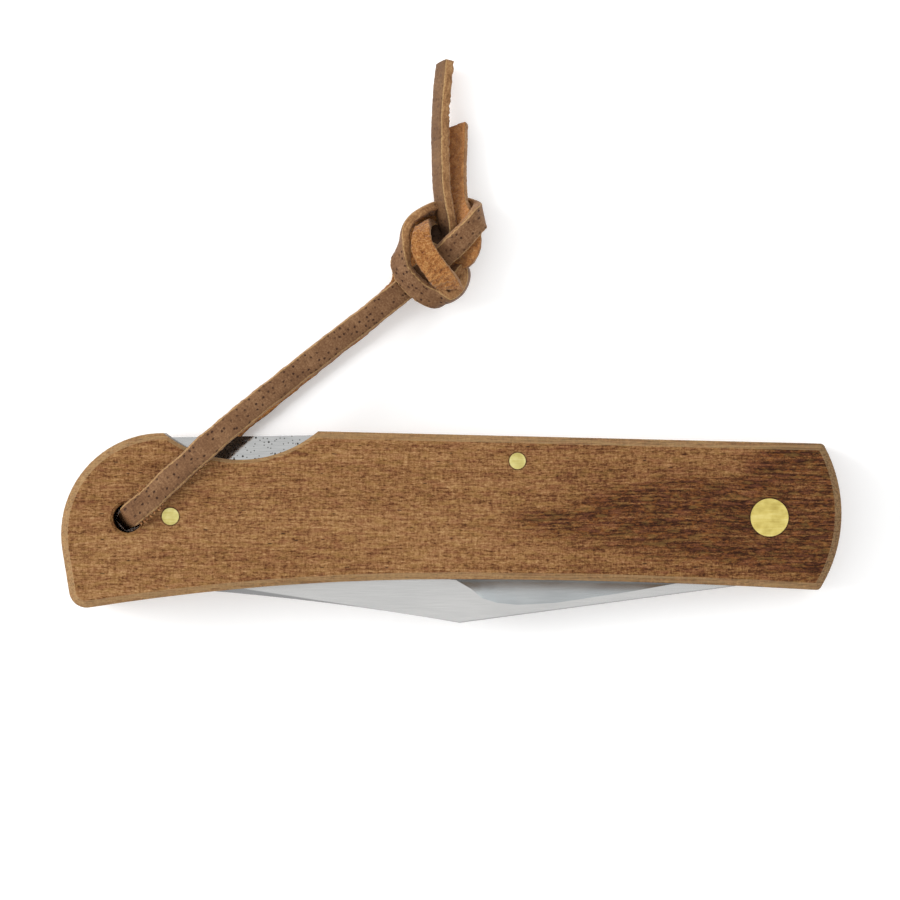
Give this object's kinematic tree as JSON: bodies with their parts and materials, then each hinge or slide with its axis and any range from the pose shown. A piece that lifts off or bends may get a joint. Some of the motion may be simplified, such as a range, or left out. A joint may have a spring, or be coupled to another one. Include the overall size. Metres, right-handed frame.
{
  "type": "folding pocket knife",
  "caption": "Back-lock folding pocket knife with a clip-point blade, bevelled wooden scales, flush brass pins and a knotted leather thong through the butt.",
  "frame": {"origin": "centre of the folded knife's box, without the thong, on the blade's middle plane", "axes": "+X along the handle from the butt to the pivot end, +Y towards the handle's back, +Z out of the front scale"},
  "size_m": [0.11, 0.0792, 0.0172],
  "materials": {
    "scale_wood": "oiled",
    "liner_steel": "satin",
    "blade_steel": "polished",
    "bar_steel": "polished",
    "spring_steel": "satin",
    "pin_brass": "brushed",
    "washer_bronze": "satin",
    "thong_leather": "grain outside, suede inside"
  },
  "bodies": {
    "handle": {"front_scale": "scale_wood", "rear_scale": "scale_wood", "front_liner": "liner_steel", "rear_liner": "liner_steel", "back_spring": "spring_steel", "butt_spacer": "liner_steel", "pivot_pin": "pin_brass", "rocker_pin": "pin_brass", "rear_pin": "pin_brass", "front_pivot_washer": "washer_bronze", "rear_pivot_washer": "washer_bronze", "thong_front_strand": "thong_leather", "thong_rear_strand": "thong_leather", "thong_knot": "thong_leather", "thong_long_tail": "thong_leather", "thong_short_tail": "thong_leather"},
    "blade": {"blade": "blade_steel"},
    "lock_bar": {"lock_bar": "bar_steel"}
  },
  "joints": [
    {"name": "blade_fold", "type": "hinge", "parent": "handle", "child": "blade", "pos_m": [0.0448, 0.00141, 0], "axis": [0, 0, 1], "range_deg": [0, 171]},
    {"name": "lock_rock", "type": "hinge", "parent": "handle", "child": "lock_bar", "pos_m": [0.00932, 0.00937, 0], "axis": [0, 0, 1], "range_deg": [-1.6, 1.5], "stiffness_Nm_per_rad": 8, "springref_deg": -1.6, "deforming": ["back_spring"]}
  ]
}
